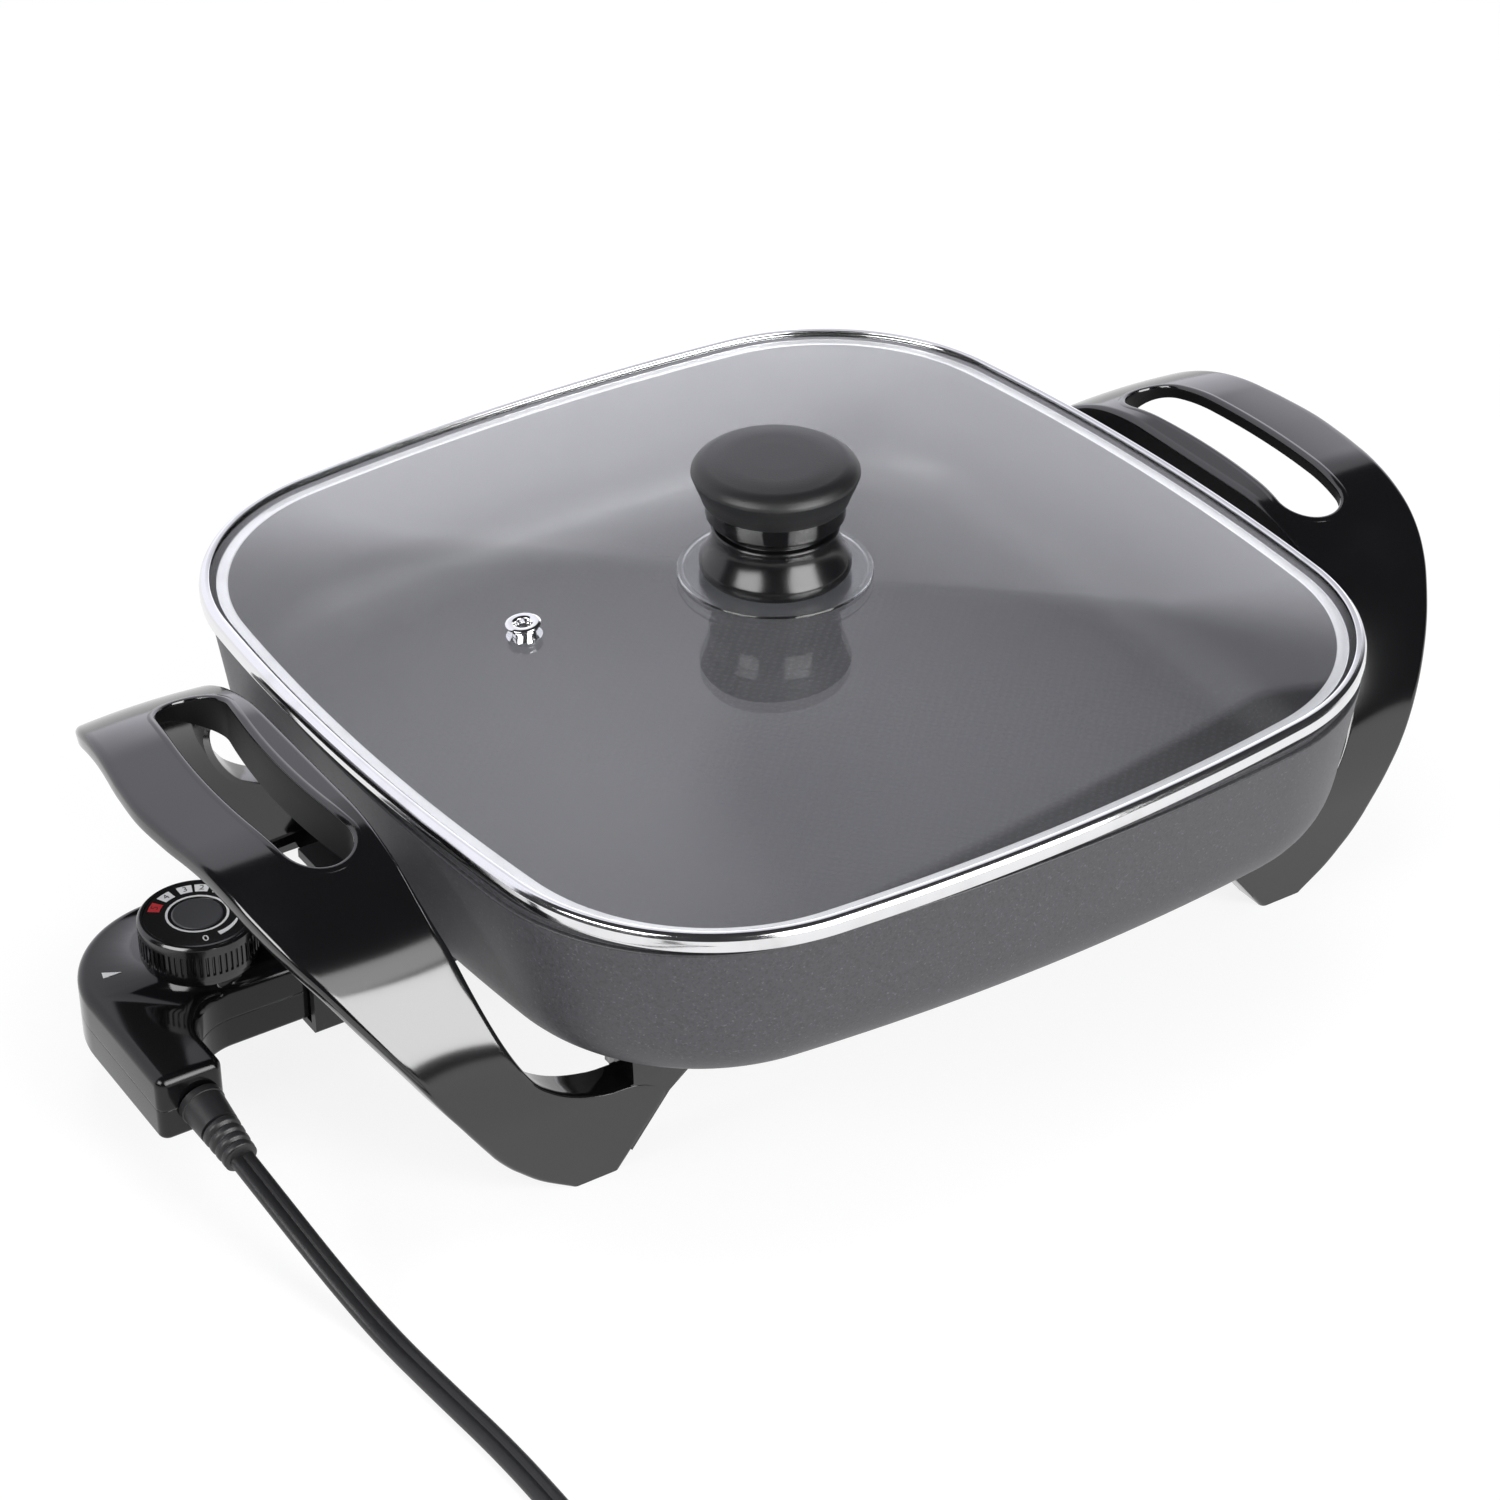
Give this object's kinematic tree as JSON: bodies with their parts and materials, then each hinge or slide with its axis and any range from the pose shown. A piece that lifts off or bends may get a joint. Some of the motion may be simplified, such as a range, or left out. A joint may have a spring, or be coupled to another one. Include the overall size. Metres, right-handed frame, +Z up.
{
  "type": "electric skillet",
  "caption": "Square electric skillet on two arched handles, with a lift-off domed glass lid with steel rim and knob, and a plug-in dial controller on a cord.",
  "frame": {"origin": "on the surface that the skillet stands on, below the middle of the skillet with its controller plugged in, the cord left out", "axes": "+X from the controller side to the other handle, +Y to the back, +Z up"},
  "size_m": [0.5666, 0.4669, 0.1505],
  "materials": {
    "coating": "charcoal grey non-stick coating with fine mica specks",
    "element_steel": "satin steel tube, slightly heat-tinted",
    "pin_metal": "bright plated",
    "ceramic": "off-white ceramic",
    "black_plastic": "fine-grained black moulding",
    "screw_steel": "zinc-plated steel",
    "gloss_black": "high-gloss black phenolic",
    "glass": "clear toughened glass",
    "rim_steel": "polished stainless steel",
    "clear_seal": "clear moulded washer",
    "matte_black": "matte black soft-touch moulding",
    "brass": "plain brass",
    "white_mark": "printed white",
    "satin_black": "satin black moulding with printed scale",
    "cap_grey": "dark grey matte disc",
    "dark_plastic": "dark moulding",
    "lead_cover": "heat-proof braided sleeve",
    "cord_rubber": "black flexible cord cover"
  },
  "bodies": {
    "skillet": {"handle_left": "gloss_black", "handle_right": "gloss_black", "handle_screws": "screw_steel", "handle_washers": "screw_steel", "heating_element": "element_steel", "pan": "coating", "pin_insulators": "ceramic", "shroud_screws": "screw_steel", "terminal_pins": "pin_metal", "terminal_shroud": "black_plastic"},
    "lid": {"lid_glass": "glass", "lid_rim": "rim_steel", "steam_vent": "rim_steel", "steam_vent_ring": "rim_steel", "knob_seat": "clear_seal", "knob_base": "gloss_black", "knob_ring": "gloss_black", "knob_top": "matte_black", "knob_insert": "brass", "knob_screw": "screw_steel", "knob_washer": "screw_steel"},
    "controller": {"controller_upper_housing": "gloss_black", "controller_lower_housing": "gloss_black", "housing_screws": "screw_steel", "pointer_mark": "white_mark", "thermostat_bracket": "screw_steel", "blade_spacers": "ceramic", "contact_blades": "brass", "contact_points": "pin_metal", "temperature_probe": "element_steel", "socket_block": "dark_plastic", "socket_contacts": "brass", "power_leads": "lead_cover", "strain_relief": "cord_rubber", "cord": "cord_rubber", "cord_coil": "cord_rubber", "cord_tail": "cord_rubber", "plug_body": "cord_rubber", "plug_blades": "brass"},
    "temperature_dial": {"dial": "satin_black", "dial_cap": "cap_grey", "dial_shaft": "dark_plastic", "dial_clip": "screw_steel"}
  },
  "joints": [
    {"name": "lid_lift", "type": "slide", "parent": "skillet", "child": "lid", "axis": [0, 0, 1], "range_m": [0, 0.14]},
    {"name": "controller_pull", "type": "slide", "parent": "skillet", "child": "controller", "axis": [-1, 0, 0], "range_m": [0, 0.13]},
    {"name": "dial_turn", "type": "hinge", "parent": "controller", "child": "temperature_dial", "pos_m": [-0.1859, 0.0074, 0.042], "axis": [0, 0, 1], "range_deg": [0, 270]}
  ]
}
